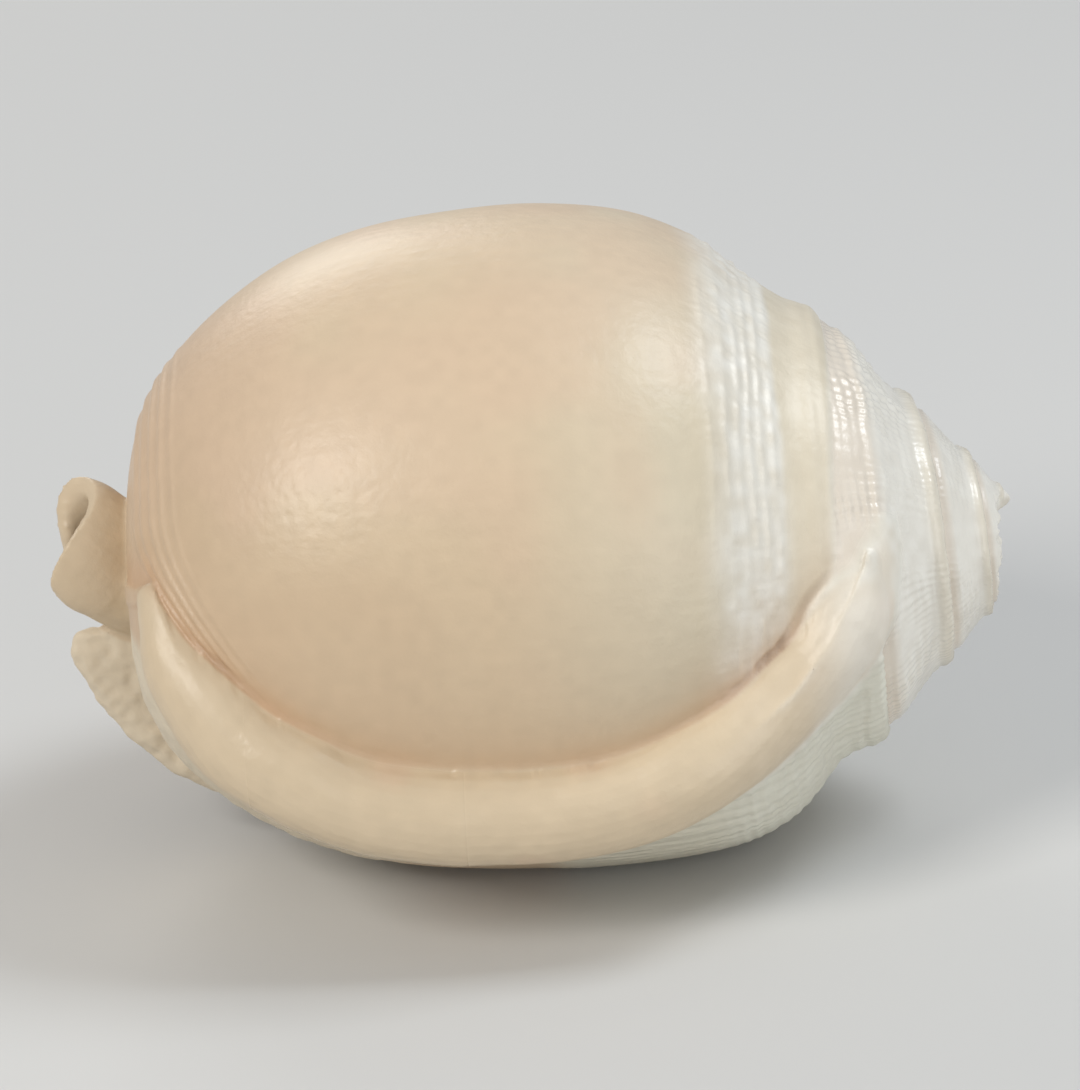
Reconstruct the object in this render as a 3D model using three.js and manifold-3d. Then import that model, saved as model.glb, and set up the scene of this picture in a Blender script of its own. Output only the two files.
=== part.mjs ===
// Bonnet shell, one grown piece, resting with its mouth down.
// Millimetres, +Z up. The coiling axis runs along X, the spire toward +X and the siphonal canal toward -X.
// Each point of the coil is given by three numbers: its distance down the axis from the ideal apex, its
// radius from the axis, and its turn in degrees round the axis (0 is the side that looks forward, 90 the
// top of the shell, 205 the edge of the mouth). Growth runs toward larger turns.
import * as THREE from 'three';
import { mergeVertices } from 'three/addons/utils/BufferGeometryUtils.js';
import Module from 'manifold-3d';

const wasm = await Module();
wasm.setup();

// Coil
const GROWTH_PER_WHORL = 1.64;
const OUTLINE_TURN = 90;
const LIP_TURN = 205;
const LATE_GROWTH_TURNS = 50;
const FIRST_TURN = -1080;
const CORE_RADIUS = 1.6;
const AXIS_GAP = 0.5;
// Outline of the last whorl at OUTLINE_TURN, from the suture to the base: distance from the apex, radius
const OUTLINE = [
  [22.6, 21.0], [23.9, 25.1], [27.0, 26.4], [31.5, 29.6], [36.0, 33.3], [43.0, 36.3], [52.0, 37.5],
  [61.0, 37.2], [70.0, 35.9], [78.0, 33.1], [85.0, 28.6], [90.6, 23.2], [93.8, 17.8], [95.3, 12.4],
  [95.5, 7.0],
];
const OUTLINE_STEPS = 22;
// The older whorls are a little fuller than the last one
const SPIRE_FULLNESS = 0.13;
const SPIRE_FULLNESS_START = 24;
const SPIRE_FULLNESS_FULL = 36;
const SPIRE_FULLNESS_AGES = [120, 330];
// The base keeps its place along the axis over the last half whorl
const BASE_START = 30;
const BASE_FULL = 62;
const FREE_BASE_TURN = -90;
const BOUND_BASE_TURN = -210;
// After the old edge of the mouth the whorl grows outward only, and its suture lies lower
const SUTURE_DROP = 0.9;
const SUTURE_DROP_END = 26;
const SUTURE_DROP_FADE = 45;
const SEAM_TURN = -48;
const SEAM_OVERLAP = 4;
const SEAM_REACH = 2.3;
const SEAM_END = 36;
const PAD_END_TURN = -6;
// Turn steps of the sweeps: the last whorl, then the older ones from the mouth back
const LAST_STEP = 11;
const OLD_SPANS = [[-335, 12], [-605, 18], [-875, 20], [FIRST_TURN, 25]];
// Columella: distance from the apex, radius
const CORE = [[5, 0], [6, CORE_RADIUS], [60, CORE_RADIUS], [80, 4.5], [90, 5], [94, 0]];
const CORE_SIDES = 14;

// Hollow
const WALL = 2.5;
const HOLLOW_FIRST_TURN = -330;
const HOLLOW_LAST_TURN = 216;
const COLUMELLA_RADIUS = 5;
const HOLLOW_STEPS = 11;
const HOLLOW_TURN_STEP = 17;
const HOLLOW_FREE_TURN = -110;
const HOLLOW_HELD_TURN = -50;
const HOLLOW_TOP = 0.13;
const HOLLOW_BOTTOM = 0.93;
const CLEARANCE = 0.2;

// Old edge of the mouth, now a ridge across the front: distance from the apex, turn, half width, and the
// height of its middle above the surface
const RIDGE = [
  [19.8, 7, 1.1, -0.9], [20.8, -1, 2.4, -1.2], [21.8, -9.5, 3.2, -1.3], [23.2, -19, 3.7, -0.9],
  [25.5, -27.3, 4.1, -0.1], [29.1, -34, 4.4, 0.5], [33.9, -39.4, 4.6, 0.9], [39.7, -43.1, 4.8, 1.1],
  [46.5, -46.3, 4.9, 1.1], [55.0, -47.7, 5.1, 1.0], [63.5, -47.8, 5.1, 1.0], [72.0, -46.4, 5.0, 1.0],
  [77.8, -44.6, 4.8, 1.0], [83.2, -41.0, 4.4, 0.8], [87.1, -33.0, 3.7, 0.6], [89.8, -23.8, 2.9, 0.2],
  [91.4, -12.0, 1.9, -0.2], [92.2, -3.5, 0.9, -0.5],
];
const RIDGE_STEPS = 34;
// The last edge of the mouth, rolled outward
const LIP = { turn: 201, start: 27.5, end: 94, radius: 3.9, lift: 0.2, sink: 2.4, bend: 12, sharpness: 6 };
const LIP_STEPS = 20;
const ROLL_SIDES = 10;

// Siphonal canal: stations down its middle as distance from the apex, height and depth from the axis,
// half width and half depth, then those of the bore
const CANAL = [
  [84.0, 1.0, -9.0, 8.5, 5.0, 3.0, 3.0], [90.0, 0.8, -7.2, 7.4, 4.8, 3.4, 2.8],
  [95.0, 1.2, -4.0, 6.8, 4.4, 3.9, 2.6], [98.4, 2.6, -0.9, 6.2, 3.9, 4.1, 2.5],
];
// Free edge of the canal's mouth, from its lowest point up the far side and back down the near side:
// distance from the apex, height and depth from the axis
const MOUTH = [
  [104.3, 0.1, 1.2], [103.1, 1.0, -1.2], [103.0, 3.6, -2.2], [103.5, 6.6, -1.8], [103.4, 9.3, -1.4],
  [102.2, 11.3, -0.8], [100.2, 11.6, 0.4], [98.9, 10.2, 2.4], [99.4, 8.0, 3.6], [100.9, 6.0, 4.2],
  [102.5, 4.0, 4.0], [103.8, 1.9, 3.0],
];
const MOUTH_RIM = 1.9;
const MOUTH_STEPS = 3;
const CANAL_STEPS = 8;
const CANAL_SIDES = 16;
const BORE_REACH = 5;

// Shield: callus spread over the underside of the last whorl, and its free flange beside the canal
const SHIELD_FIRST = -168;
const SHIELD_LAST = -98;
const SHIELD_THICKNESS = 1.3;
const SHIELD_DEPTH = 0.2;
const SHIELD_TOP = 0.3;
const SHIELD_BOTTOM = 0.93;
const SHIELD_STEPS = 12;
const SHIELD_TURN_STEP = 10;
const FLANGE_EDGE = [
  [78, -10], [82, -22.4], [86, -22.7], [90, -21.0], [94, -18.3], [97.6, -14.6], [100.2, -11.4],
  [102.4, -7.4], [102.7, -5.4], [101.0, -4.0], [95, -3.4], [86, -3.0],
];
const FLANGE_MIDDLE = [89, -11];
const FLANGE_THICKNESS = 2.6;
const FLANGE_ROUNDING = 1.4;
const FLANGE_LAYERS = 4;
const FLANGE_SIDES = 24;
const FLANGE_DEPTH = -4.5;
const FLANGE_SLOPE = 18;

// Broken end of the spire
const APEX_BREAK = 5.0;
const APEX_BREAK_TILT = -14;
const APEX_HOLLOW = [2.2, 3.4, 3.4];

// Pose
const REST_ROLL = 21;
const AXIS_TILT = -1.5;
const FLAT_DEPTH = 0.6;

const rad = THREE.MathUtils.degToRad;
const smooth = THREE.MathUtils.smoothstep;
const lerp = THREE.MathUtils.lerp;
const RATE = Math.log(GROWTH_PER_WHORL) / 360;
const outline = new THREE.SplineCurve(OUTLINE.map(([along, radius]) => new THREE.Vector2(along, radius)));

// Turns of growth since OUTLINE_TURN: true to the coil before it, slowing toward the mouth after it
function age(turn) {
  const since = turn - OUTLINE_TURN;
  return since < 0 ? since : LATE_GROWTH_TURNS * (1 - Math.exp(-since / LATE_GROWTH_TURNS));
}

// A point of the outer surface: t runs along the outline from the suture (0) to the base (1). Where held is
// 1 the whorl grows outward only.
function surface(t, turn, held = 0) {
  const point = outline.getPoint(t);
  const since = age(turn);
  const bound = smooth(-turn, -FREE_BASE_TURN, -BOUND_BASE_TURN);
  const hold = lerp(smooth(point.x, BASE_START, BASE_FULL) * (1 - bound), 1, held);
  const low = 1 - smooth(point.x, SUTURE_DROP_END, SUTURE_DROP_FADE);
  const drop = SUTURE_DROP * held * low * smooth(-since, 0, 90);
  const older = smooth(-since, ...SPIRE_FULLNESS_AGES);
  const full = older * smooth(point.x, SPIRE_FULLNESS_START, SPIRE_FULLNESS_FULL);
  return [
    point.x * Math.exp(RATE * since * (1 - hold)) + drop,
    point.y * (1 + SPIRE_FULLNESS * full) * Math.exp(RATE * since),
  ];
}

function place(along, radius, turn) {
  return new THREE.Vector3(-along, -radius * Math.cos(rad(turn)), radius * Math.sin(rad(turn)));
}

// Closed solid through a row of rings, each with the same even number of points. An end cap joins the
// ring's first half to its second half, point by point.
function loft(rings) {
  const count = rings[0].length;
  const corners = rings.flat().flatMap((point) => point.toArray());
  const faces = [];
  const quad = (a, b, c, d) => faces.push(a, b, c, a, c, d);
  for (let ring = 0; ring < rings.length - 1; ring += 1) {
    for (let side = 0; side < count; side += 1) {
      const next = (side + 1) % count;
      const here = ring * count;
      quad(here + side, here + next, here + count + next, here + count + side);
    }
  }
  const last = (rings.length - 1) * count;
  for (let i = 0; i < count / 2 - 1; i += 1) {
    const far = count - 1 - i;
    quad(i, far, far - 1, i + 1);
    quad(last + i, last + i + 1, last + far - 1, last + far);
  }
  return solid(corners, faces);
}

// A manifold solid from corners and faces, turned outward if the faces wind inward
function solid(corners, faces) {
  const geometry = new THREE.BufferGeometry();
  geometry.setAttribute('position', new THREE.Float32BufferAttribute(corners, 3));
  geometry.setIndex(faces);
  return fromGeometry(geometry);
}

function volumeOf(position, index) {
  let sum = 0;
  const a = new THREE.Vector3();
  const b = new THREE.Vector3();
  const c = new THREE.Vector3();
  for (let i = 0; i < index.count; i += 3) {
    a.fromBufferAttribute(position, index.getX(i));
    b.fromBufferAttribute(position, index.getX(i + 1));
    c.fromBufferAttribute(position, index.getX(i + 2));
    sum += a.dot(b.cross(c)) / 6;
  }
  return sum;
}

function fromGeometry(geometry) {
  geometry.deleteAttribute('normal');
  geometry.deleteAttribute('uv');
  const merged = mergeVertices(geometry, 1e-4);
  const triVerts = Uint32Array.from(merged.index.array);
  if (volumeOf(merged.attributes.position, merged.index) < 0) {
    for (let i = 0; i < triVerts.length; i += 3) {
      [triVerts[i + 1], triVerts[i + 2]] = [triVerts[i + 2], triVerts[i + 1]];
    }
  }
  const vertProperties = Float32Array.from(merged.attributes.position.array);
  return new wasm.Manifold(new wasm.Mesh({ numProp: 3, vertProperties, triVerts }));
}

// Solid swept round the axis: section(turn) gives a closed outline of [along, radius] pairs
function sweep(first, last, step, section) {
  const steps = Math.max(1, Math.round((last - first) / step));
  const sections = [];
  const turns = [];
  for (let i = 0; i <= steps; i += 1) {
    turns.push(lerp(first, last, i / steps));
    sections.push(section(turns[i]));
  }
  return loft(sections.map((points, i) => points.map(([along, radius]) => place(along, radius, turns[i]))));
}

function ellipse(centre, across, up, width, height, sides) {
  const ring = [];
  for (let i = 0; i < sides; i += 1) {
    const angle = (2 * Math.PI * i) / sides;
    ring.push(centre.clone()
      .addScaledVector(across, Math.cos(angle) * width)
      .addScaledVector(up, Math.sin(angle) * height));
  }
  return ring;
}

// Solid tube along a row of stations
function tube(stations, sides) {
  return loft(stations.map(({ centre, across, up, width, height }) => (
    ellipse(centre, across, up, width, height, sides))));
}

// Distance from the apex of the ridge's middle line at a turn, on the side of the spire
function seamAlong(turn) {
  for (let i = 1; i < RIDGE.length; i += 1) {
    const [along0, turn0] = RIDGE[i - 1];
    const [along1, turn1] = RIDGE[i];
    if (turn <= turn0 && turn > turn1) {
      return lerp(along0, along1, (turn - turn0) / (turn1 - turn0));
    }
  }
  return turn > 0 ? RIDGE[0][0] : BASE_FULL;
}

// Where the outline of one turn passes a distance along the axis
function outlineAt(along, turn, held) {
  let low = 0;
  let high = 1;
  for (let i = 0; i < 20; i += 1) {
    const middle = (low + high) / 2;
    if (surface(middle, turn, held)[0] < along) {
      low = middle;
    } else {
      high = middle;
    }
  }
  return low;
}

// Section of a whorl from the axis to its surface, between two places on the outline
function whorlSection(turn, held, from, to) {
  const points = [];
  for (let i = 0; i <= OUTLINE_STEPS; i += 1) {
    points.push(surface(lerp(from, to, i / OUTLINE_STEPS), turn, held));
  }
  const along = points.map((point) => point[0]);
  return points.concat(along.reverse().map((value) => [value, AXIS_GAP]));
}

function whorls() {
  let body = sweep(SEAM_TURN, LIP_TURN, LAST_STEP, (turn) => (
    whorlSection(turn, 1, turn < PAD_END_TURN ? outlineAt(seamAlong(turn) - SEAM_REACH, turn, 1) : 0, 1)));
  body = body.add(sweep(SEAM_TURN - SEAM_OVERLAP, PAD_END_TURN, LAST_STEP / 2, (turn) => (
    whorlSection(turn, 0, 0, outlineAt(Math.min(seamAlong(turn) + SEAM_REACH, SEAM_END), turn, 0)))));
  let last = SEAM_TURN + SEAM_OVERLAP;
  for (const [first, step] of OLD_SPANS) {
    body = body.add(sweep(first, last, step, (turn) => whorlSection(turn, 0, 0, 1)));
    last = first;
  }
  return body;
}

function core() {
  const profile = CORE.map(([along, radius]) => new THREE.Vector2(radius, along));
  const lathe = new THREE.LatheGeometry(profile, CORE_SIDES);
  lathe.rotateZ(Math.PI / 2);
  return fromGeometry(lathe);
}

// Outer surface pulled in by the wall
function inner(t, turn, held) {
  const step = 0.004;
  const [a0, r0] = surface(Math.max(0, t - step), turn, held);
  const [a1, r1] = surface(Math.min(1, t + step), turn, held);
  const [along, radius] = surface(t, turn, held);
  const pull = (WALL * Math.exp(RATE * age(turn))) / Math.hypot(a1 - a0, r1 - r0);
  return [along + pull * (r1 - r0), radius - pull * (a1 - a0)];
}

// Radius of the outer surface at a distance along the axis
function radiusAt(along, turn, held) {
  return along > surface(1, turn, held)[0] ? 0 : surface(outlineAt(along, turn, held), turn, held)[1];
}

// Outline of the hollow: the pulled-in outer surface, then the columella and the whorl before it
function hollowSection(turn) {
  const held = smooth(turn, HOLLOW_FREE_TURN, HOLLOW_HELD_TURN);
  const points = [];
  for (let i = 0; i <= HOLLOW_STEPS; i += 1) {
    points.push(inner(lerp(HOLLOW_TOP, HOLLOW_BOTTOM, i / HOLLOW_STEPS), turn, held));
  }
  const columella = COLUMELLA_RADIUS * Math.exp(RATE * age(turn));
  const start = points[0][0];
  const end = points[HOLLOW_STEPS][0] - WALL;
  for (let i = 0; i <= HOLLOW_STEPS; i += 1) {
    const along = lerp(end, start + 1, i / HOLLOW_STEPS);
    points.push([along, Math.max(radiusAt(along, turn - 360, 0) + CLEARANCE, columella)]);
  }
  return points;
}

// Round tube along a line that lies on the coil, its sides facing outward
function roll(line, sizes) {
  const curve = new THREE.CatmullRomCurve3(line);
  const stations = line.map((centre, i) => {
    const along = curve.getTangent(THREE.MathUtils.clamp(i / (line.length - 1), 0.001, 0.999));
    const outward = new THREE.Vector3(0, centre.y, centre.z).normalize();
    const across = new THREE.Vector3().crossVectors(along, outward).normalize();
    const up = new THREE.Vector3().crossVectors(across, along).normalize();
    return { centre, across, up, width: sizes[i], height: sizes[i] };
  });
  return tube(stations, ROLL_SIDES);
}

function ridge() {
  const places = new THREE.CatmullRomCurve3(RIDGE.map(([along, turn, half]) => (
    new THREE.Vector3(along, turn, half))));
  const lifts = new THREE.SplineCurve(RIDGE.map(([along, , , lift]) => new THREE.Vector2(along, lift)));
  const line = [];
  const sizes = [];
  for (let i = 0; i <= RIDGE_STEPS; i += 1) {
    const { x: along, y: turn, z: half } = places.getPoint(i / RIDGE_STEPS);
    const base = Math.max(radiusAt(along, turn, 1), radiusAt(along, turn - 360, 0));
    line.push(place(along, base + lifts.getPoint(i / RIDGE_STEPS).y, turn));
    sizes.push(half);
  }
  return roll(line, sizes);
}

// Rolled edge across the whorl whose ends bend toward growth and taper
function lip({ turn, start, end, radius, lift, sink, bend, sharpness }) {
  const line = [];
  const sizes = [];
  for (let i = 0; i <= LIP_STEPS; i += 1) {
    const v = i / LIP_STEPS;
    const off = Math.abs(2 * v - 1);
    const along = lerp(start, end, v);
    const here = turn + bend * off ** sharpness;
    line.push(place(along, radiusAt(along, here, 1) + lift - sink * off ** 4, here));
    sizes.push(radius * Math.sqrt(Math.max(0.03, 1 - off ** 4)));
  }
  return roll(line, sizes);
}

// Closed smooth curve through points, as a ring of evenly spaced points of it
function ringThrough(points, count) {
  const curve = new THREE.CatmullRomCurve3(points, true);
  return Array.from({ length: count }, (_, i) => curve.getPoint(i / count));
}

// The canal's solid, or its bore where inside is true, reaching past the mouth
function canal(inside) {
  const points = CANAL.map(([along, height, depth]) => new THREE.Vector3(-along, -depth, height));
  const curve = new THREE.CatmullRomCurve3(points);
  const sizes = new THREE.CatmullRomCurve3(CANAL.map((station, i) => (
    new THREE.Vector3(i, station[inside ? 5 : 3], station[inside ? 6 : 4]))));
  const rings = [];
  for (let i = 0; i <= CANAL_STEPS; i += 1) {
    const v = i / CANAL_STEPS;
    const along = curve.getTangent(v);
    const across = new THREE.Vector3().crossVectors(along, new THREE.Vector3(0, 1, 0)).normalize();
    const up = new THREE.Vector3().crossVectors(across, along).normalize();
    const { y: width, z: height } = sizes.getPoint(v);
    rings.push(ellipse(curve.getPoint(v), across, up, width, height, CANAL_SIDES));
  }
  const rim = MOUTH.map(([along, height, depth]) => new THREE.Vector3(-along, -depth, height));
  const middle = rim.reduce((sum, point) => sum.add(point), new THREE.Vector3()).divideScalar(rim.length);
  const edge = ringThrough(rim, CANAL_SIDES);
  if (inside) {
    edge.forEach((point) => point.addScaledVector(middle.clone().sub(point).normalize(), MOUTH_RIM));
  }
  const neck = rings[rings.length - 1];
  for (let i = 1; i <= MOUTH_STEPS; i += 1) {
    rings.push(neck.map((point, side) => point.clone().lerp(edge[side], i / MOUTH_STEPS)));
  }
  if (inside) {
    const heading = middle.clone().sub(points[points.length - 1]).normalize();
    rings.push(edge.map((point) => point.clone().addScaledVector(heading, BORE_REACH)));
  }
  return loft(rings);
}

// Thin layer over the underside, thinning out toward both of its long edges
function shieldSection(turn) {
  const skin = [];
  const under = [];
  const v = (turn - SHIELD_FIRST) / (SHIELD_LAST - SHIELD_FIRST);
  const thickness = SHIELD_THICKNESS * Math.sqrt(Math.max(0.02, 1 - v ** 3));
  for (let i = 0; i <= SHIELD_STEPS; i += 1) {
    const [along, radius] = surface(lerp(SHIELD_TOP, SHIELD_BOTTOM, i / SHIELD_STEPS), turn);
    const thinning = Math.min(1, (6 * Math.min(i, SHIELD_STEPS - i)) / SHIELD_STEPS);
    skin.push([along, radius + thickness * thinning]);
    under.push([along, radius * (1 - SHIELD_DEPTH)]);
  }
  return skin.concat(under.reverse());
}

// Free plate beside the canal with a rounded edge, its lower part sloping away from the front
function flange() {
  const corners = FLANGE_EDGE.map(([along, height]) => new THREE.Vector3(along, height, 0));
  const edge = ringThrough(corners, FLANGE_SIDES);
  const middle = new THREE.Vector3(...FLANGE_MIDDLE, 0);
  const rings = [];
  for (let i = 0; i <= FLANGE_LAYERS; i += 1) {
    const v = i / FLANGE_LAYERS;
    const inset = FLANGE_ROUNDING * (1 - Math.sin(Math.PI * lerp(0.1, 0.9, v)));
    rings.push(edge.map((point) => {
      const inward = middle.clone().sub(point).normalize();
      const { x: along, y: height } = point.clone().addScaledVector(inward, inset);
      return new THREE.Vector3(-along, -FLANGE_THICKNESS * v, height);
    }));
  }
  const geometry = new THREE.BufferGeometry().setFromPoints(rings.flat());
  geometry.rotateX(rad(FLANGE_SLOPE));
  geometry.translate(0, -FLANGE_DEPTH + FLANGE_THICKNESS, 0);
  const position = geometry.attributes.position;
  return loft(rings.map((ring, i) => ring.map((_, side) => (
    new THREE.Vector3().fromBufferAttribute(position, i * FLANGE_SIDES + side)))));
}

// Everything past the broken end of the spire, with a dent into it
function apexCut() {
  const block = new THREE.BoxGeometry(20, 40, 40);
  block.translate(10, 0, 0);
  block.rotateY(rad(APEX_BREAK_TILT));
  block.translate(-APEX_BREAK, 0, 0);
  const dent = new THREE.SphereGeometry(1, 12, 8);
  dent.scale(...APEX_HOLLOW);
  dent.translate(-APEX_BREAK, 0, 0);
  return fromGeometry(block).add(fromGeometry(dent));
}

let grown = whorls().add(core()).add(ridge()).add(lip(LIP)).add(canal(false)).add(flange());
grown = grown.add(sweep(SHIELD_FIRST, SHIELD_LAST, SHIELD_TURN_STEP, shieldSection));
grown = grown.subtract(sweep(HOLLOW_FIRST_TURN, HOLLOW_LAST_TURN, HOLLOW_TURN_STEP, hollowSection));
const shell = grown.subtract(canal(true)).subtract(apexCut());

function toGeometry(manifold) {
  const { vertProperties, triVerts } = manifold.getMesh();
  const geometry = new THREE.BufferGeometry();
  geometry.setAttribute('position', new THREE.Float32BufferAttribute(vertProperties, 3));
  geometry.setIndex(Array.from(triVerts));
  return geometry;
}

// Rolls the shell onto its mouth, tilts the axis, and grinds small flats where it meets the ground
function settle(manifold) {
  const geometry = toGeometry(manifold);
  geometry.rotateX(rad(-REST_ROLL));
  geometry.rotateY(rad(-AXIS_TILT));
  geometry.computeBoundingBox();
  geometry.translate(0, 0, -geometry.boundingBox.min.z - FLAT_DEPTH);
  const ground = new THREE.BoxGeometry(400, 400, 20);
  ground.translate(0, 0, -10);
  const rested = toGeometry(fromGeometry(geometry).subtract(fromGeometry(ground)));
  rested.computeBoundingBox();
  const centre = rested.boundingBox.getCenter(new THREE.Vector3());
  rested.translate(-centre.x, -centre.y, 0);
  rested.computeVertexNormals();
  return rested;
}

const material = new THREE.MeshStandardMaterial({ color: 0xdccbb0, roughness: 0.35, metalness: 0 });
const part = new THREE.Group();
const mesh = new THREE.Mesh(settle(shell), material);
mesh.name = 'shell';
part.add(mesh);

export default part;
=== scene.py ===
import math

import bpy
import numpy as np
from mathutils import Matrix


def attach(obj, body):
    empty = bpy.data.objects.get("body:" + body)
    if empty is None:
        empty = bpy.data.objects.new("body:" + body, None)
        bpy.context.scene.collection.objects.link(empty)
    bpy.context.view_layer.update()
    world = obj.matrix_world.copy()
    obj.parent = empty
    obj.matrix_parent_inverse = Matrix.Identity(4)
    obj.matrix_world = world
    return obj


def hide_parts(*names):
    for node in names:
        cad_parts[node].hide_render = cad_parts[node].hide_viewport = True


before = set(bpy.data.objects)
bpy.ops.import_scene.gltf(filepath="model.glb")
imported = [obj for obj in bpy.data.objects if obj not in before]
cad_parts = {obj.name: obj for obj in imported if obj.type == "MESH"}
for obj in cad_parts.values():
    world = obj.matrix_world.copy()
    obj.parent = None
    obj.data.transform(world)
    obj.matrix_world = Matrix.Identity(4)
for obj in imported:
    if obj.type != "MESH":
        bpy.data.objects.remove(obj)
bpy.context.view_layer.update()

import openvdb
from mathutils import Matrix, Vector

# Everything up to to_frame() is in millimetres in the coil's own axes: the ideal apex at the origin, the
# coiling axis along -X, turn 0 toward -Y and turn 90 toward +Z. Growth runs toward larger turns.
MM = 0.001
VOXEL = 0.26
BAND = 8

# Pose of the coil in the frame
REST_ROLL = 21.0
AXIS_TILT = -1.5
APEX_AT = (54.60, -2.88, 28.70)

# Coil, as in the CAD part. The outline is the last whorl's, by distance along the axis and radius
GROWTH_PER_WHORL = 1.64
OUTLINE_TURN = 90.0
LIP_TURN = 205.0
LATE_GROWTH_TURNS = 50.0
OUTLINE = np.array([
    (22.6, 21.0), (23.9, 25.1), (27.0, 26.4), (31.5, 29.6), (36.0, 33.3), (43.0, 36.3), (52.0, 37.5),
    (61.0, 37.2), (70.0, 35.9), (78.0, 33.1), (85.0, 28.6), (90.6, 23.2), (93.8, 17.8), (95.3, 12.4),
    (95.5, 7.0),
])
SPIRE_FULLNESS = 0.13
OLD_FULLNESS = 0.045
SUTURE_DROP = 0.9
BASE_START, BASE_FULL = 30.0, 62.0
FREE_BASE_TURN, BOUND_BASE_TURN = -90.0, -210.0
WALL = 2.5
COLUMELLA_RADIUS = 5.0
RATE = math.log(GROWTH_PER_WHORL) / 360
SEAM_TURN = -48.0

# Old lip, now a ridge across the shell: along, turn, half width and height of its middle above the surface
RIDGE = np.array([
    (19.8, 7, 1.1, -1.6), (20.8, -1, 2.3, -2.3), (21.6, -9, 2.9, -2.4), (23.0, -17.5, 3.9, -1.5),
    (25.5, -27.3, 4.1, -0.1), (29.1, -34, 4.4, 0.5), (33.9, -39.4, 4.6, 0.9), (39.7, -43.1, 4.8, 1.1),
    (46.5, -46.3, 4.9, 1.1), (55.0, -47.7, 5.1, 1.0), (63.5, -47.8, 5.1, 1.0), (72.0, -46.4, 5.0, 1.0),
    (77.8, -43.2, 5.3, 0.7), (83.2, -38.8, 5.4, 0.2), (87.1, -30.8, 4.9, -0.3), (89.8, -22.2, 3.8, -0.5),
    (91.4, -11.0, 2.3, -0.5), (92.2, -3.0, 1.1, -0.6),
])
RIDGE_FADE = 3.0
LIP_FADE = 2.0
CANAL_FADE = 1.3
CRACK_FILLET = 0.9
LIP = dict(turn=201, start=27.5, end=94, radius=3.9, lift=0.2, sink=2.4, bend=12, sharpness=6)

# Canal stations: along, height, depth toward the front, half width, half depth, then the bore's two
CANAL = np.array([
    (84.0, 1.0, -9.0, 8.5, 5.0, 3.0, 3.0), (90.0, 0.8, -7.2, 7.4, 4.8, 3.4, 2.8),
    (95.0, 1.2, -4.0, 6.8, 4.4, 3.9, 2.6), (98.4, 2.6, -0.9, 6.2, 3.9, 4.1, 2.5),
])
# Edge of the canal's mouth, as along, height and depth, from its lowest point up the far side and back
# down the near side
MOUTH = np.array([
    (104.3, 0.1, 1.2), (103.1, 1.0, -1.2), (103.0, 3.6, -2.2), (103.5, 6.6, -1.8), (103.4, 9.3, -1.4),
    (102.2, 11.3, -0.8), (100.2, 11.6, 0.4), (98.9, 10.2, 2.4), (99.4, 8.0, 3.6), (100.9, 6.0, 4.2),
    (102.5, 4.0, 4.0), (103.8, 1.9, 3.0),
])
MOUTH_RIM = 1.9

FLANGE_EDGE = np.array([
    (78, -10), (82, -23.4), (86, -23.9), (90.4, -22.4), (94.8, -19.4), (98.5, -15.6), (101.1, -12.0),
    (102.9, -7.6), (102.9, -5.3), (101.0, -4.0), (95, -3.4), (86, -3.0),
])
FLANGE_MIDDLE = (89.0, -11.0)
FLANGE_DEPTH = -4.5
FLANGE_SLOPE = 18.0
FLANGE_THICKNESS = 2.6

APEX_BREAK = 6.3
APEX_TIP = 2.1

GRID_LOW = np.array((-108.0, -44.0, -36.0))
GRID_HIGH = np.array((-2.0, 46.0, 42.0))


def smoothstep(x, low, high):
    t = np.clip((x - low) / (high - low), 0, 1)
    return t * t * (3 - 2 * t)


def bell(x, width):
    return np.exp(-(x / width) ** 2)


def spline(points, t):
    """Uniform Catmull-Rom curve through points, for t from 0 to 1."""
    points = np.asarray(points, float)
    last = len(points) - 1
    p = np.clip(np.asarray(t, float), 0, 1) * last
    i = np.minimum(p.astype(int), last - 1)
    w = (p - i)[..., None]
    before, here = points[np.maximum(i - 1, 0)], points[i]
    there, after = points[i + 1], points[np.minimum(i + 2, last)]
    v0, v1 = (there - before) / 2, (after - here) / 2
    cubic = 2 * here - 2 * there + v0 + v1
    square = 3 * there - 3 * here - 2 * v0 - v1
    return cubic * w**3 + square * w**2 + v0 * w + here


LATTICE = np.random.default_rng(7).random((32, 32, 32))


def noise(x, y=0.0, z=0.0):
    """Smooth noise from -1 to 1 with features one unit across."""
    x, y, z = np.broadcast_arrays(x, y, z)
    p = np.stack([x, y, z], -1)
    cell = np.floor(p).astype(int)
    w = p - cell
    w = w * w * (3 - 2 * w)
    total = 0.0
    for i in (0, 1):
        for j in (0, 1):
            for k in (0, 1):
                near = (cell + (i, j, k)) % len(LATTICE)
                corner = LATTICE[near[..., 0], near[..., 1], near[..., 2]]
                total = total + corner * np.prod(np.abs(1 - np.array((i, j, k)) - w), axis=-1)
    return 2 * total - 1


def age(turn):
    since = np.asarray(turn, float) - OUTLINE_TURN
    late = LATE_GROWTH_TURNS * (1 - np.exp(-np.maximum(since, 0) / LATE_GROWTH_TURNS))
    return np.where(since < 0, since, late)


def fullness(along, turn):
    since = age(turn)
    spire = SPIRE_FULLNESS * smoothstep(along, 24, 36) * smoothstep(-since, 120, 330)
    old = OLD_FULLNESS * smoothstep(along, 30, 40) * smoothstep(-since, 120, 150)
    return 1 + spire + old * (1 - smoothstep(-since, 200, 260))


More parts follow.
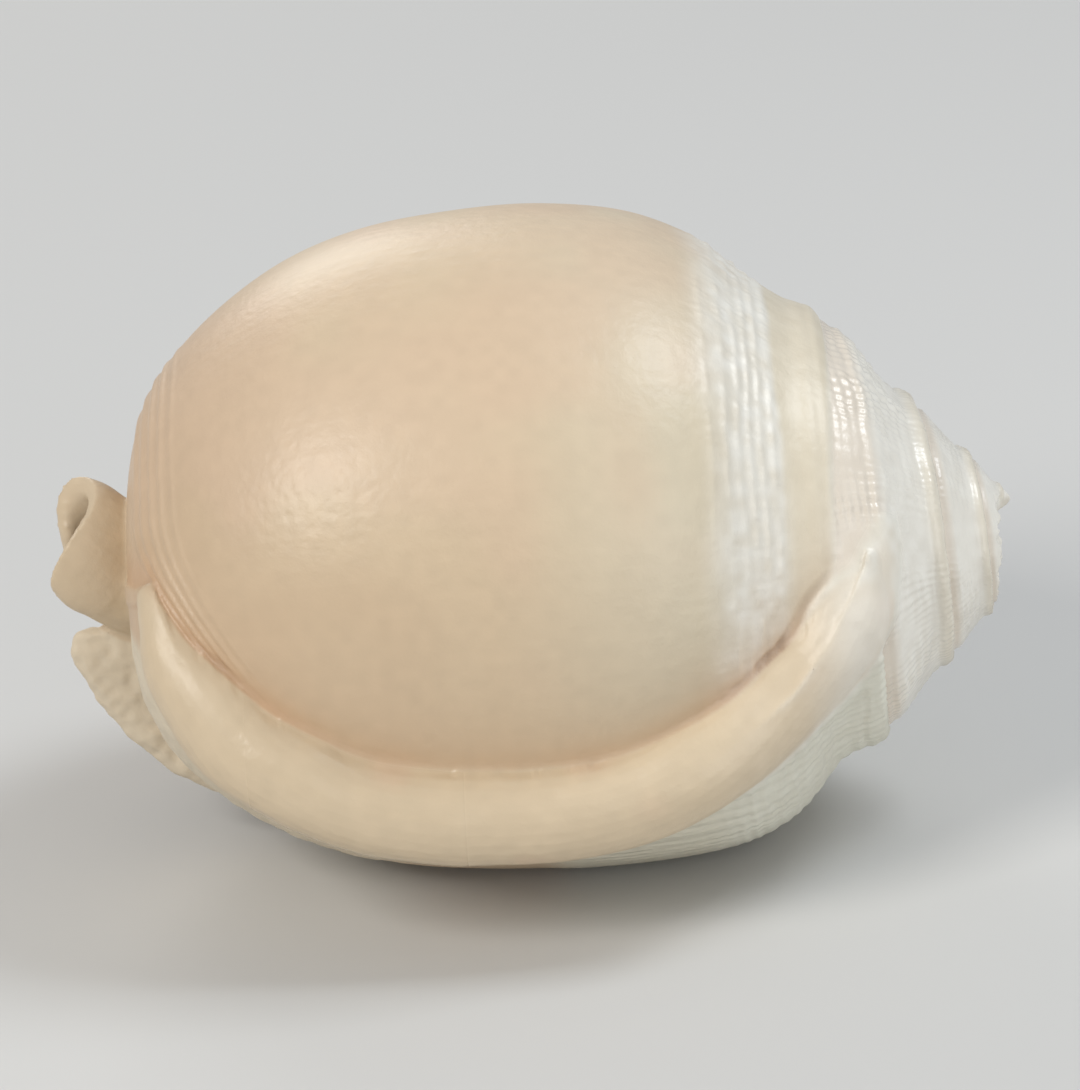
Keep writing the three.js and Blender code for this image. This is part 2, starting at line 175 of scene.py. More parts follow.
def surface(t, turn, held=0.0):
    """Distance along the axis and radius of the outer surface; t is 0 at the suture and 1 at the base.
    A held whorl grows outward only."""
    point = spline(OUTLINE, t)
    along, radius = point[..., 0], point[..., 1]
    since = age(turn)
    bound = smoothstep(-np.asarray(turn, float), -FREE_BASE_TURN, -BOUND_BASE_TURN)
    hold = smoothstep(along, BASE_START, BASE_FULL) * (1 - bound)
    hold = held + (1 - held) * hold
    drop = SUTURE_DROP * held * (1 - smoothstep(along, 26, 45)) * smoothstep(-since, 0, 90)
    full_radius = radius * fullness(along, turn) * np.exp(RATE * since)
    return along * np.exp(RATE * since * (1 - hold)) + drop, full_radius


def place(along, radius, turn):
    angle = np.radians(turn)
    return np.stack(np.broadcast_arrays(-along, -radius * np.cos(angle), radius * np.sin(angle)), -1)


def radius_at(along, turn, held=0.0):
    """Radius of the outer surface at a distance along the axis, for one turn."""
    u, r = surface(np.linspace(0, 1, 400), np.full(400, float(turn)), held)
    return np.interp(along, u, r, left=0, right=0)


# ---- closed meshes ----

def loft(rings):
    """Corners and quads of a closed solid through rings of the same even count, capped point to point."""
    rings = np.asarray(rings, float)
    rows, count = rings.shape[:2]
    side = np.arange(count)
    after = np.roll(side, -1)
    start = (np.arange(rows - 1) * count)[:, None]
    walls = np.stack([start + side, start + after, start + count + after, start + count + side], -1)
    i = np.arange(count // 2 - 1)
    far = count - 1 - i
    first = np.stack([i, far, far - 1, i + 1], -1)
    last = (rows - 1) * count + np.stack([i, i + 1, far - 1, far], -1)
    return rings.reshape(-1, 3), np.concatenate([walls.reshape(-1, 4), first, last])


def sweep(first, last, step, section):
    turns = np.linspace(first, last, max(2, round((last - first) / step) + 1))
    return loft([place(*section(turn), turn) for turn in turns])


def unit(vectors):
    return vectors / np.linalg.norm(vectors, axis=-1, keepdims=True)


def tube_rings(centres, widths, heights, hint, sides=28):
    """Ellipses along centres, their width across hint and their height toward it."""
    centres = np.asarray(centres, float)
    along = unit(np.gradient(centres, axis=0))
    across = unit(np.cross(along, np.broadcast_to(np.asarray(hint, float), centres.shape)))
    up = np.cross(across, along)
    angle = 2 * math.pi * np.arange(sides) / sides
    return (centres[:, None] + across[:, None] * (np.cos(angle)[:, None] * np.asarray(widths)[:, None, None])
            + up[:, None] * (np.sin(angle)[:, None] * np.asarray(heights)[:, None, None]))


# ---- distance fields ----

SHAPE = np.ceil((GRID_HIGH - GRID_LOW) / VOXEL).astype(int)
FIRST_CELL = np.round(GRID_LOW / VOXEL).astype(int)


def field(mesh):
    """Signed distance to a closed mesh on the whole grid, clipped to the band."""
    points, quads = mesh
    transform = openvdb.createLinearTransform(voxelSize=VOXEL)
    grid = openvdb.FloatGrid.createLevelSetFromPolygons(
        points.astype(np.float32), quads=quads.astype(np.uint32), transform=transform, halfWidth=BAND)
    values = np.empty(tuple(SHAPE), np.float32)
    grid.copyToArray(values, ijk=tuple(int(c) for c in FIRST_CELL))
    return values


def blend(a, b, reach):
    """Union with a fillet of the given reach."""
    h = np.maximum(reach - np.abs(a - b), 0) / reach
    return np.minimum(a, b) - h * h * reach / 4


def carve(a, b, reach):
    """a without b, with the edge rounded by the given reach."""
    h = np.maximum(reach - np.abs(a + b), 0) / reach
    return np.maximum(a, -b) + h * h * reach / 4


def grid_axes():
    return [((FIRST_CELL[k] + np.arange(SHAPE[k])) * VOXEL).astype(np.float32) for k in range(3)]


def sample(values, points):
    """Value of a field at each point."""
    p = points / VOXEL - FIRST_CELL
    cell = np.clip(np.floor(p).astype(int), 0, SHAPE - 2)
    w = np.clip(p - cell, 0, 1)
    total = 0.0
    for i in (0, 1):
        for j in (0, 1):
            for k in (0, 1):
                corner = values[cell[:, 0] + i, cell[:, 1] + j, cell[:, 2] + k]
                total = total + corner * abs(1 - i - w[:, 0]) * abs(1 - j - w[:, 1]) * abs(1 - k - w[:, 2])
    return total


def extract(values):
    grid = openvdb.FloatGrid(BAND * VOXEL)
    grid.copyFromArray(values, ijk=tuple(int(c) for c in FIRST_CELL))
    grid.transform = openvdb.createLinearTransform(voxelSize=VOXEL)
    grid.gridClass = openvdb.GridClass.LEVEL_SET
    points, quads = grid.convertToQuads(isovalue=0.0)
    return points.astype(float), quads.astype(np.int64)[:, ::-1]


# ---- sub-shapes ----

AXIS_GAP = 0.5


def whorl_section(held):
    def section(turn):
        u, r = surface(np.linspace(0, 1, 110), turn, held)
        return np.concatenate([u, u[::-1]]), np.concatenate([r, np.full(110, AXIS_GAP)])
    return section


def hollow_section(turn):
    held = float(smoothstep(turn, -110, -50))
    t = np.linspace(0.13, 0.93, 40)
    u0, r0 = surface(t - 0.004, turn, held)
    u1, r1 = surface(t + 0.004, turn, held)
    u, r = surface(t, turn, held)
    growth = math.exp(RATE * float(age(turn)))
    pull = WALL * growth / np.hypot(u1 - u0, r1 - r0)
    u, r = u + pull * (r1 - r0), r - pull * (u1 - u0)
    along = np.linspace(u[-1] - WALL, u[0] + 1, 40)
    inner = np.maximum(radius_at(along, turn - 360) + 0.2, COLUMELLA_RADIUS * growth)
    return np.concatenate([u, along]), np.concatenate([r, inner])


def core():
    along = np.array([5, 6, 60, 80, 90, 94.0])
    radius = np.array([0.3, 1.6, 1.6, 4.5, 5, 0.3])
    angle = 2 * math.pi * np.arange(20) / 20
    return loft([np.stack([np.full(20, -a), r * np.cos(angle), r * np.sin(angle)], -1)
                 for a, r in zip(along, radius)])


def ridge():
    along, turn, half, lift = spline(RIDGE, np.linspace(0, 1, 170)).T
    base = np.array([max(radius_at(a, b, 1.0), radius_at(a, b - 360)) for a, b in zip(along, turn)])
    centres = place(along, base + lift, turn)
    return loft(tube_rings(centres, half, half, centres * (0, 1, 1)))


def split_at_ridge(new, old):
    """The whorl after the ridge and the one before it, each ending under the ridge's middle line."""
    x, y, z = grid_axes()
    middle = np.interp(-x, RIDGE[:, 0], RIDGE[:, 1]).astype(np.float32)
    yy, zz = np.meshgrid(y, z, indexing="ij")
    radius = np.hypot(yy, zz)
    turn = np.degrees(np.arctan2(zz, -yy))
    off = turn[None] - middle[:, None, None]
    off = (off + 180) % 360 - 180
    reach = off * (radius * math.pi / 180)[None]
    return (np.where(np.abs(off) < 90, np.maximum(new, -reach - 1), new),
            np.where((np.abs(off) < 60) & (turn < 22)[None], np.maximum(old, reach - 1), old))


def lip(turn, start, end, radius, lift, sink, bend, sharpness, stations=90):
    """Rolled edge across the whorl: a round tube whose ends bend toward growth and taper."""
    v = np.linspace(0, 1, stations)
    off = np.abs(2 * v - 1)
    along = start + (end - start) * v
    turns = turn + bend * off**sharpness
    radii = np.array([radius_at(a, b, 1.0) for a, b in zip(along, turns)]) + lift - sink * off**4
    centres = place(along, radii, turns)
    size = radius * np.sqrt(np.maximum(0.03, 1 - off**4))
    return loft(tube_rings(centres, size, size, centres * (0, 1, 1)))


def closed_curve(points, count):
    """Smooth closed curve through points, as count points."""
    last = len(points)
    wrapped = np.concatenate([points[-1:], points, points[:2]])
    p = np.arange(count) * last / count
    return spline(wrapped, (1 + p) / (last + 2))


def canal(inside):
    """The canal as a solid, or its bore: round stations, then the free edge of the mouth."""
    along, height, depth, wide, deep, bore_wide, bore_deep = spline(CANAL, np.linspace(0, 1, 14)).T
    centres = np.stack([-along, -depth, height], -1)
    middle = MOUTH.mean(0)
    edge = closed_curve(MOUTH, 28)
    if inside:
        inward = middle - edge
        edge = edge + MOUTH_RIM * unit(inward)
        wide, deep = bore_wide, bore_deep
    edge = np.stack([-edge[:, 0], -edge[:, 2], edge[:, 1]], -1)
    rings = tube_rings(centres, wide, deep, (0, 1, 0))
    neck = rings[-1]
    steps = np.linspace(0, 1, 7)[1:, None, None]
    swelling = 0 if inside else 0.5 * np.sin(math.pi * steps) * unit(neck - neck.mean(0))
    rings = np.concatenate([rings, neck + (edge - neck) * steps + swelling])
    if inside:
        rings = np.concatenate([rings, (edge + 5 * unit(edge.mean(0) - neck.mean(0)))[None]])
    return loft(rings)


def flange():
    """Free plate beside the canal with a rounded edge, its lower part sloping away from the front."""
    slope = math.radians(FLANGE_SLOPE)
    edge = closed_curve(FLANGE_EDGE, 64)
    rings = []
    for v in np.linspace(0.08, 0.92, 9):
        inset = 1.6 * (1 - math.sin(math.pi * v))
        here = edge + inset * unit(np.array(FLANGE_MIDDLE) - edge)
        offset = FLANGE_THICKNESS * v
        y = -FLANGE_DEPTH - here[:, 1] * math.sin(slope) - offset * math.cos(slope)
        z = here[:, 1] * math.cos(slope) - offset * math.sin(slope)
        rings.append(np.stack([-here[:, 0], y, z], -1))
    return loft(rings)


def break_apex(values):
    """The tip is lost: a ragged, hollowed end with one point left standing on the upper side."""
    x, y, z = grid_axes()
    near = x > -12
    yy, zz = np.meshgrid(y, z, indexing="ij")
    r = np.hypot(yy, zz)
    turn = np.degrees(np.arctan2(zz, -yy))
    tip = APEX_TIP * bell(turn - 88, 30) * smoothstep(r, 1.8, 4)
    ragged = 0.35 * noise(yy * 0.9 + 9, zz * 0.9) + 0.2 * noise(yy * 2.3, zz * 2.3 + 5)
    cut = APEX_BREAK - tip + ragged + 1.2 * bell(r, 2.6)
    cut = cut + 1.0 * smoothstep(-zz, 4.5, 6.5) * smoothstep(yy, -4, 2)
    values[near] = np.maximum(values[near], (cut[None] + x[near][:, None, None]).astype(np.float32))
    return values


# First and last turn and step of each length of the older whorls, each overlapping the next
OLD_LENGTHS = ((-325, -2, 4), (-600, -320, 5), (-875, -595, 5), (-1150, -870, 5), (-1400, -1145, 5))
HOLLOW_TURNS = (-330, 216)


def build_fields():
    """The whole shell's distance field, and those of the parts that the relief and the colours tell apart."""
    new = field(sweep(SEAM_TURN - 8, LIP_TURN, 3, whorl_section(1.0)))
    old, *earlier = [field(sweep(*turns, whorl_section(0.0))) for turns in OLD_LENGTHS]
    new, old = split_at_ridge(new, old)
    for length in earlier:
        old = np.minimum(old, length)
    old = np.minimum(old, field(core()))
    parts = {"new": new, "old": old, "ridge": field(ridge()), "canal": field(canal(False)),
             "flange": field(flange())}
    old = blend(old, parts["ridge"], RIDGE_FADE)
    parts["side"] = old
    new = blend(new, field(lip(**LIP)), LIP_FADE)
    whole = blend(new, old, CRACK_FILLET)
    whole = blend(whole, blend(parts["canal"], parts["flange"], 0.6), CANAL_FADE)
    whole = carve(whole, field(sweep(*HOLLOW_TURNS, 6, hollow_section)), 1.0)
    whole = carve(whole, field(canal(True)), 1.2)
    whole = break_apex(whole)
    return whole, parts


# ---- surface detail ----

# Distance along the axis and height of each raised line
SHOULDER_CORDS = ((29.7, 0.13), (30.9, 0.18), (32.1, 0.2), (33.2, 0.17), (34.5, 0.12), (36.1, 0.06))
CORD_WIDTH = 0.34
BASE_LINES = ((89.7, 0.10), (90.9, 0.2), (91.9, 0.28), (92.9, 0.3), (93.8, 0.26))
LINE_WIDTH = 0.3
LINE_LEAN = 5.8
LEAN_TURN, LEAN_SPREAD = 22.0, 37.0
# The older whorls show on the spire before this turn, and below the ridge after it
SPIRE_TURN = -215.0
SPIRE_CORD_SPACING = 1.75
SPIRE_CORD_START = 25.2
SPIRE_BAND = 24.2
RIB_SPACING = 3.0
FLAKE_SPACING = 3.6
FINE_RIB_SPACING = 1.3
SHOULDER_RIB_SPACING = 2.3
POCKET_ALONG = 29.3
PATCH_ALONG, PATCH_LENGTH = 75.0, 8.0
PATCH_TURN, PATCH_SPREAD = 13.0, 13.0
BASE_CRACK, BASE_CRACK_LENGTH = 84.5, 3.2


def noise_at(points, scale, shift=0.0):
    """Smooth noise over space, with features 1 / scale across."""
    return noise(*(points.T * scale + shift))


def read_surface(points):
    """Outline coordinates of each point: those of the last whorl and of the nearest older whorl."""
    along = -points[:, 0]
    radius = np.hypot(points[:, 1], points[:, 2])
    turn = np.degrees(np.arctan2(points[:, 2], -points[:, 1]))
    u_line, r_line = spline(OUTLINE, np.linspace(0, 1, 600)).T
    late = np.where(turn < -150, turn + 360, turn)
    miss_new = np.abs(radius - np.interp(along, u_line, r_line, 0, 0) * np.exp(RATE * age(late)))
    old = {"miss": np.full(len(points), 99.0), "at": np.zeros(len(points)), "turn": turn.copy(),
           "growth": np.ones(len(points))}
    for back in range(4):
        old_turn = turn - 360 * back
        scale = np.exp(RATE * age(old_turn))
        at = along / scale
        miss = np.abs(radius - np.interp(at, u_line, r_line, 0, 0) * fullness(at, old_turn) * scale)
        better = (old_turn < -30) & (miss < old["miss"])
        for key, value in (("miss", miss), ("at", at), ("turn", old_turn), ("growth", scale)):
            old[key] = np.where(better, value, old[key])
    return {"along": along, "radius": radius, "turn": turn, "late": late, "miss_new": miss_new, "old": old}


def read_masks(points, parts, read):
    """How far each point belongs to each sub-part, from 0 to 1, and its distance past the crack."""
    near = {name: sample(values, points) for name, values in parts.items()}
    on = {name: 1 - smoothstep(value, 0.25, 0.9) for name, value in near.items()}
    along, old = read["along"], read["old"]
    new = on["new"] * (1 - smoothstep(read["miss_new"], 0.35, 0.9))
    older = on["old"] * (1 - smoothstep(old["miss"], 0.5, 1.4)) * (1 - new)
    on_ridge = on["ridge"] * (1 - new)
    off_canal = 1 - on["canal"]

    past = (read["late"] - np.interp(along, RIDGE[:, 0], RIDGE[:, 1])) * np.radians(read["radius"])
    from_crack = np.maximum(past - 0.9 * np.interp(along, RIDGE[:, 0], RIDGE[:, 2]), 0)
    crease = bell(np.maximum(np.abs(near["new"]) + np.abs(near["side"]) - 0.45, 0), 0.16)
    crease = crease * (1 - smoothstep(near["ridge"], 1.0, 2.0))
    open_ends = smoothstep(-along, -37, -31) + bell(along - BASE_CRACK, BASE_CRACK_LENGTH)
    open_ends = open_ends * smoothstep(noise(along * 0.45, 1.5), -0.5, 0.1)

    lower = on["old"] * (1 - new) * (1 - on_ridge) * off_canal * smoothstep(along, 64, 74)
    lower = lower * smoothstep(-read["turn"], 20, 32)
    rough = np.maximum(on["flange"] * off_canal * (1 - on_ridge), 0.6 * lower)
    return {"new": new, "old": older, "spire": older * (old["turn"] < SPIRE_TURN), "ridge": on_ridge,
            "canal": on["canal"] * (1 - new), "flange": rough, "lower": lower, "crease": crease,
            "open": open_ends, "from_crack": from_crack, "near_new": near["new"]}


def ribs(turn, at, spacing, sharp):
    """Growth ribs: steps across the whorl, a little uneven."""
    phase = turn / spacing + 0.5 * noise(turn * 0.12, at * 0.12) + 0.25 * noise(turn * 0.1 + 7, at * 0.5)
    wave = 0.5 - 0.5 * np.cos(2 * math.pi * phase)
    return wave**sharp


def new_relief(points, read):
    """The last whorl: cords and ribs on its shoulder, fine lines round its base, pits and a pitted patch."""
    at, turn = read["along"], read["late"]
    wander = 0.22 * noise(turn * 0.05, at * 0.3) + 0.08 * noise(turn * 0.25, at * 0.9, 3.0)
    height = -0.12 * bell(at - 24.9, 0.6)
    for where, amount in SHOULDER_CORDS:
        beads = 0.7 + 0.7 * noise(turn * 0.3, where * 3.1) + 0.3 * noise(turn * 0.9, where * 1.7)
        height = height + amount * np.maximum(beads, 0.1) * bell(at + wander - where, CORD_WIDTH)
    lean = at + LINE_LEAN * np.clip((LEAN_TURN - turn) / LEAN_SPREAD, 0, 1.3) ** 2
    shown = smoothstep(turn, -26, -14) * (at > 78)
    for where, amount in BASE_LINES:
        height = height + amount * bell(lean + 0.6 * wander - where, LINE_WIDTH) * shown
    shoulder = (1 - smoothstep(at, 35, 39)) * smoothstep(at, 28, 30)
    height = height + 0.07 * shoulder * ribs(turn, at, SHOULDER_RIB_SPACING, 1.0) * noise_at(points, 0.5)
    pits = np.maximum(0, noise_at(points, 1.5) - 0.1) + 0.7 * np.maximum(0, noise_at(points, 2.4, 5) - 0.1)
    patch = bell(at - PATCH_ALONG, PATCH_LENGTH) * bell(read["turn"] - PATCH_TURN, PATCH_SPREAD)
    return height + 0.10 * noise_at(points, 0.06) - pits * (0.012 + 0.035 * patch)


def old_cords(old):
    drift = 0.5 * noise(old["turn"] * 0.06, old["at"] * 0.3) + 0.3 * noise(old["turn"] * 0.2, old["at"] * 0.7)
    return 0.5 + 0.5 * np.cos(2 * math.pi * (old["at"] + drift - SPIRE_CORD_START) / SPIRE_CORD_SPACING)


def spire_relief(points, old):
    """The spire: cords crossed by ribs, worn in places, and a raised band beside each suture."""
    rib = ribs(old["turn"], old["at"], RIB_SPACING, 1.2)
    worn = 0.5 + 0.8 * noise_at(points, 0.2) + 0.35 * noise_at(points, 0.7)
    band = bell(old["at"] - SPIRE_BAND, 1.3) - 0.8 * smoothstep(old["at"], 34.8, 36.8)
    hatching = 0.15 * old_cords(old) * np.maximum(worn, 0.15) + 0.15 * rib * np.maximum(worn, 0.1)
    return np.sqrt(old["growth"] / 0.6) * (hatching + 0.27 * band)


def old_relief(old):
    """The older whorl below the ridge: flaky growth lines, faint cords and a hollow near the suture."""
    flakes = ribs(old["turn"], old["at"] * 0.6, FLAKE_SPACING, 0.6)
    fine = ribs(old["turn"], old["at"], FINE_RIB_SPACING, 1.0)
    pocket = bell(old["at"] - POCKET_ALONG, 2.2) * smoothstep(-old["turn"], 45, 55)
    pocket = pocket * (1 - smoothstep(-old["turn"], 120, 150))
    cords = 0.12 * old_cords(old) * (1 - smoothstep(old["at"], 40, 48))
    return 0.18 * flakes + 0.07 * fine + cords - 0.6 * pocket


def ridge_relief(points, along, near_new):
    """The ridge: gentle waves, and pleats along the crack."""
    pleats = noise(along * 0.55, 3.0) * noise(along * 1.3, 8.0)
    pleats = np.maximum(0, np.abs(pleats) - 0.08) * (1 - smoothstep(near_new, 0.2, 2.0))
    return 0.16 * noise_at(points, 0.22) + 0.05 * noise_at(points, 0.6) - 0.4 * pleats


def detail(points, masks, read):
    """Height of the fine relief at each point."""
    back = masks["old"] - masks["spire"]
    height = masks["new"] * new_relief(points, read)
    height = height + masks["spire"] * spire_relief(points, read["old"]) + back * old_relief(read["old"])
    height = height + masks["ridge"] * ridge_relief(points, read["along"], masks["near_new"])
    height = height - masks["crease"] * (0.04 + 0.3 * masks["open"])
    height = height + masks["flange"] * (0.35 * noise_at(points, 0.3) + 0.16 * noise_at(points, 1.0))
    return height + 0.12 * masks["canal"] * noise_at(points, 0.25)


def normals_of(points, quads):
    a, b, c, d = (points[quads[:, k]] for k in range(4))
    facing = np.cross(c - a, d - b)
    normals = np.zeros_like(points)
    for k in range(4):
        np.add.at(normals, quads[:, k], facing)
    return normals / np.maximum(np.linalg.norm(normals, axis=1, keepdims=True), 1e-12)


def pose_matrix():
    tilt = Matrix.Rotation(math.radians(-AXIS_TILT), 3, "Y")
    rolled = Matrix.Rotation(math.radians(-REST_ROLL), 3, "X")
    return np.array(tilt @ rolled)


POSE = pose_matrix()


def to_frame(points):
    return (points @ POSE.T + APEX_AT) * MM


# ---- colour ----

def srgb(red, green, blue):
    value = np.array((red, green, blue)) / 255
    return np.where(value <= 0.04045, value / 12.92, ((value + 0.055) / 1.055) ** 2.4)


BEIGE = srgb(210, 188, 158)
DEEP = srgb(200, 172, 141)
GREENISH = srgb(211, 200, 176)
PINK = srgb(213, 185, 158)
CREAM = srgb(212, 193, 164)
IVORY = srgb(214, 202, 178)
WHITE = srgb(233, 229, 219)
GREY = srgb(218, 205, 182)
PALE = srgb(216, 214, 198)
ORANGE = srgb(196, 148, 106)
BROWN = srgb(120, 84, 54)


def mix(base, colour, amount):
    amount = np.clip(amount, 0, 1)[:, None]
    return base * (1 - amount) + colour * amount


def colours(points, masks, read):
    """Colour of each point: the last whorl's, then each other sub-part's over it, then the crack's tints and
    the painted shade beside and in it.
    """
    along, ridge = read["along"], masks["ridge"]
    broad = noise_at(points, 0.045, 3.3)
    small = noise_at(points, 0.16)
    fine = noise_at(points, 0.8)
    ends = smoothstep(-along, -50, -34) + smoothstep(along, 72, 80)
    made = np.tile(BEIGE, (len(points), 1))
    made = mix(made, GREENISH, 0.8 * smoothstep(-along, -60, -38) + 0.2 * broad)
    made = mix(made, DEEP, 0.6 * smoothstep(along, 72, 92) + 0.3 * smoothstep(-broad, 0.1, 0.7))
    made = mix(made, PINK, 0.5 * smoothstep(broad + 0.4 * small, 0.1, 0.8))
    # The shoulder whitens toward the spire: partly the shell's own pale colour, partly painted sheen standing
    # in for the window light's reflection off its rough cords.
    pale_and_sheen = smoothstep(-along + 0.8 * small, -38.5, -33.5)
    made = mix(made, WHITE, pale_and_sheen * (0.8 + 0.25 * fine))
    made = mix(made, IVORY, masks["new"] * 0.8 * smoothstep(-along + 0.5 * small, -29.6, -28.6))
    made = mix(made, CREAM, 0.9 * ridge)
    made = mix(made, PINK, 0.5 * ridge * smoothstep(small + 0.5 * broad, 0.1, 0.7))
    made = mix(made, WHITE, 0.75 * masks["spire"])
    # Spire darker beside each suture, where it passes under the next whorl: partly its own browner tone,
    # partly painted shade under that whorl's edge.
    made = mix(made, DEEP, 0.3 * masks["spire"] * smoothstep(read["old"]["at"], 33.5, 36.5))
    made = mix(made, IVORY, 0.5 * masks["spire"] * bell(read["old"]["at"] - 24.0, 1.6))
    made = mix(made, WHITE, 0.7 * ridge * smoothstep(-along, -29, -22))
    made = mix(made, PALE, 0.8 * masks["old"] * (1 - masks["spire"]) * (1 - masks["lower"]))
    made = mix(made, GREY, 0.85 * masks["flange"] + 0.6 * masks["lower"])
    made = mix(made, CREAM, 0.8 * masks["canal"])
    # Painted shade: the last whorl darker within a few millimetres of the crack, in the valley beside the
    # ridge.
    made = mix(made, DEEP, masks["new"] * 0.5 * bell(masks["from_crack"], 7.0))
    glow = (0.12 + 0.35 * ends) * bell(masks["from_crack"], 2.6) * (1 + 0.5 * small)
    made = mix(made, ORANGE, masks["new"] * glow)
    made = mix(made, ORANGE, ridge * 0.5 * ends * masks["crease"])
    # Along the crack: a faint brown stain, darkened further with painted shade where the crack stands open.
    made = mix(made, BROWN, masks["crease"] * (0.06 + 0.24 * masks["open"]))
    return made * (1 + 0.03 * fine[:, None])


def mesh_object(name, points, quads, material, tint, gloss):
    data = bpy.data.meshes.new(name)
    data.vertices.add(len(points))
    data.vertices.foreach_set("co", points.astype(np.float32).ravel())
    data.loops.add(quads.size)
    data.loops.foreach_set("vertex_index", quads.astype(np.int32).ravel())
    data.polygons.add(len(quads))
    data.polygons.foreach_set("loop_start", np.arange(0, quads.size, 4, dtype=np.int32))
    data.polygons.foreach_set("use_smooth", np.ones(len(quads), bool))
    data.update(calc_edges=True)
    data.validate()
    layer = data.attributes.new("tint", "FLOAT_COLOR", "POINT")
    rgba = np.column_stack([tint, np.ones(len(points))])
    layer.data.foreach_set("color", rgba.astype(np.float32).ravel())
    layer = data.attributes.new("gloss", "FLOAT", "POINT")
    layer.data.foreach_set("value", gloss.astype(np.float32))
    data.materials.append(material)
    made = bpy.data.objects.new(name, data)
    bpy.context.scene.collection.objects.link(made)
    return made


def shell_material():
    material = bpy.data.materials.new("shell")
    material.use_nodes = True
    nodes, links = material.node_tree.nodes, material.node_tree.links
    shader = nodes["Principled BSDF"]
    tint = nodes.new("ShaderNodeAttribute")
    tint.attribute_name = "tint"
    links.new(tint.outputs["Color"], shader.inputs["Base Color"])
    gloss = nodes.new("ShaderNodeAttribute")
    gloss.attribute_name = "gloss"
    links.new(gloss.outputs["Fac"], shader.inputs["Roughness"])
    shader.inputs["Specular IOR Level"].default_value = 0.5
    shader.inputs["Subsurface Weight"].default_value = 0.0
    place_at = nodes.new("ShaderNodeTexCoord")
    grain = nodes.new("ShaderNodeTexNoise")
    grain.inputs["Scale"].default_value = 900
    grain.inputs["Detail"].default_value = 3
    links.new(place_at.outputs["Object"], grain.inputs["Vector"])
    bump = nodes.new("ShaderNodeBump")
    bump.inputs["Strength"].default_value = 0.35
    bump.inputs["Distance"].default_value = 0.0002
    links.new(grain.outputs["Fac"], bump.inputs["Height"])
    links.new(bump.outputs["Normal"], shader.inputs["Normal"])
    return material


def roughness_of(masks, along):
    shiny = smoothstep(along, 50, 66) * (1 - smoothstep(along, 82, 87))
    gloss = 0.15 * masks["ridge"] * shiny + 0.14 * masks["spire"]
    return 0.40 - gloss + 0.2 * masks["flange"] + 0.1 * masks["lower"]


def above_floor(values):
    """The shape cut flat where it stands on the floor."""
    x, y, z = grid_axes()
    height = x[:, None, None] * POSE[2, 0] + y[None, :, None] * POSE[2, 1] + z[None, None, :] * POSE[2, 2]
    return np.maximum(values, -(height + APEX_AT[2]).astype(np.float32))


def build_shell():
    values, parts = build_fields()
    points, quads = extract(above_floor(values))
    read = read_surface(points)
    masks = read_masks(points, parts, read)
    standing = (points @ POSE.T + APEX_AT)[:, 2]
    relief = detail(points, masks, read) * smoothstep(standing, 0.3, 1.5)
    tint = colours(points, masks, read)
    gloss = roughness_of(masks, read["along"])
    points = points + normals_of(points, quads) * relief[:, None]
    return mesh_object("shell_surface", to_frame(points), quads, shell_material(), tint, gloss)


def plain(name, colour, roughness):
    material = bpy.data.materials.new(name)
    material.use_nodes = True
    shader = material.node_tree.nodes["Principled BSDF"]
    shader.inputs["Base Color"].default_value = (*colour, 1)
    shader.inputs["Roughness"].default_value = roughness
    return material


def build_floor():
    bpy.ops.mesh.primitive_plane_add(size=6, location=(0, 0, 0))
    floor = bpy.context.active_object
    floor.name = "floor"
    floor.data.materials.append(plain("floor", (0.62, 0.615, 0.6), 0.8))


# Camera: the point it looks at in the coil's axes, the roll of the coil's axis, and the height it takes in
VIEW_CENTRE = (-53.3, 0.0, 1.92)
VIEW_ROLL = math.radians(2.96)
VIEW_DISTANCE = 450.0
VIEW_HEIGHT = 113.4235
SENSOR = 36.0


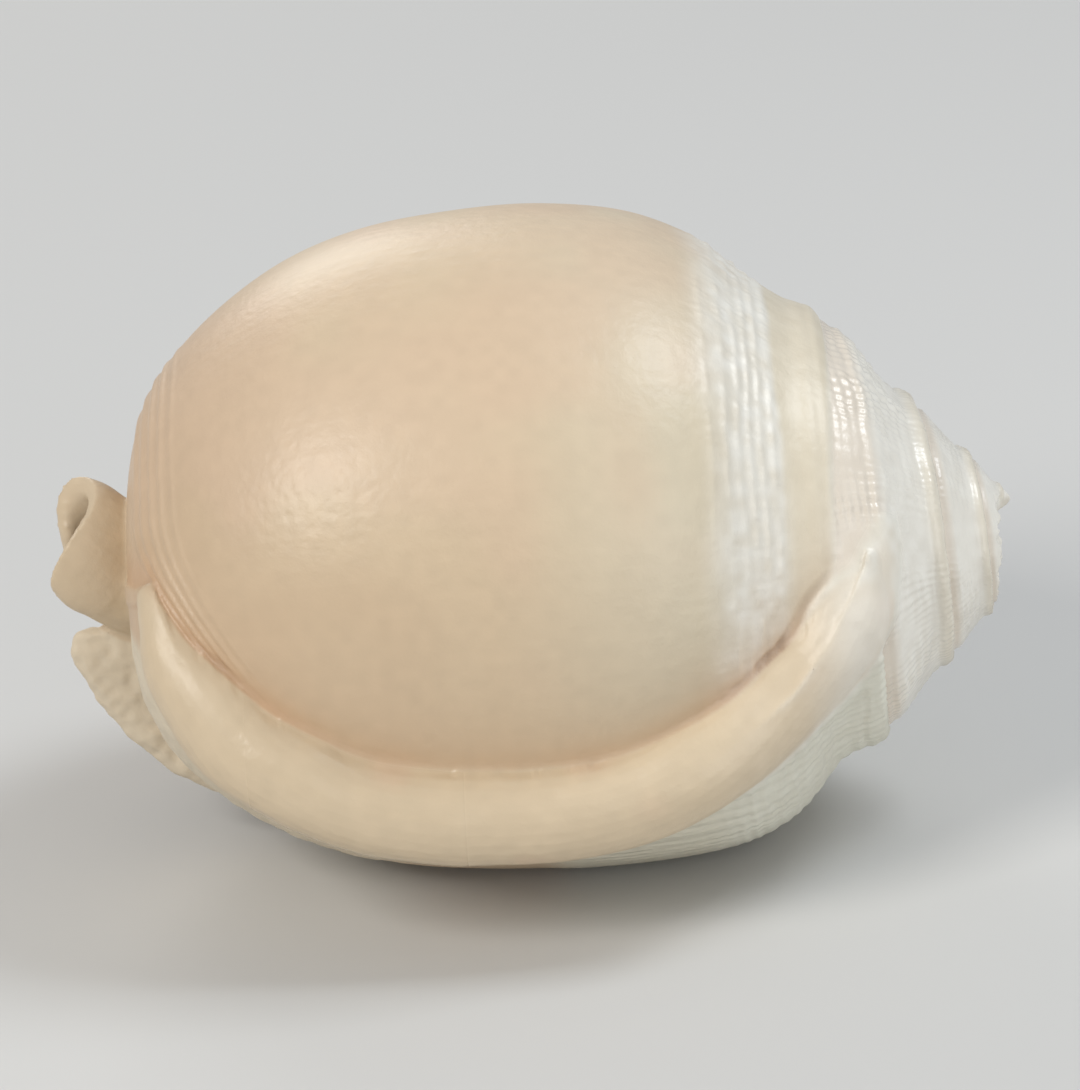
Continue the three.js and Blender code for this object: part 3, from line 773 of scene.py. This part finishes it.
def build_camera():
    right = Vector((math.cos(VIEW_ROLL), 0, -math.sin(VIEW_ROLL)))
    up = Vector((math.sin(VIEW_ROLL), 0, math.cos(VIEW_ROLL)))
    back = Vector((0, -1, 0))
    turn = Matrix(POSE.tolist())
    columns = [turn @ v for v in (right, up, back)]
    centre = Vector(to_frame(np.array(VIEW_CENTRE)))
    data = bpy.data.cameras.new("camera")
    data.sensor_width = SENSOR
    data.lens = SENSOR * VIEW_DISTANCE / VIEW_HEIGHT
    data.clip_end = 20
    camera = bpy.data.objects.new("camera", data)
    bpy.context.scene.collection.objects.link(camera)
    basis = Matrix(columns).transposed().to_4x4()
    basis.translation = centre + columns[2] * VIEW_DISTANCE * MM
    camera.matrix_world = basis
    bpy.context.scene.camera = camera


# Lights, by their direction in the coil's axes
KEY = (-0.605, -0.682, 0.38)
TOP = (-0.284, 0.628, 0.72)
WINDOW = (0.55, -0.25, 0.79)
FILL = (0.3, -0.9, -0.1)
SIDE = (0.7, -0.7, -0.1)


def area_light(name, direction, distance, size, power, colour):
    data = bpy.data.lights.new(name, "AREA")
    data.size = size
    data.energy = power
    data.color = colour
    light = bpy.data.objects.new(name, data)
    heading = Vector((POSE @ np.array(direction)).tolist()).normalized()
    aim = Vector((0, 0, 0.03))
    light.location = aim + heading * distance
    light.rotation_euler = (-heading).to_track_quat("-Z", "Y").to_euler()
    bpy.context.scene.collection.objects.link(light)


def build_lights():
    world = bpy.data.worlds.new("studio")
    world.use_nodes = True
    world.node_tree.nodes["Background"].inputs["Color"].default_value = (0.95, 0.97, 1.0, 1)
    world.node_tree.nodes["Background"].inputs["Strength"].default_value = 0.36
    bpy.context.scene.world = world
    area_light("key", KEY, 0.9, 0.34, 4.0, (1.0, 0.97, 0.92))
    area_light("top", TOP, 1.0, 0.4, 1.8, (1.0, 0.98, 0.95))
    area_light("window", WINDOW, 1.0, 0.35, 4.2, (0.88, 0.94, 1.0))
    area_light("side", SIDE, 1.0, 0.6, 1.9, (0.96, 0.98, 1.0))
    area_light("fill", FILL, 1.1, 0.8, 1.1, (1.0, 0.97, 0.93))


shell = build_shell()
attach(shell, "root")
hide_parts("shell")
build_floor()
build_camera()
build_lights()
bpy.context.scene.view_settings.view_transform = "Standard"
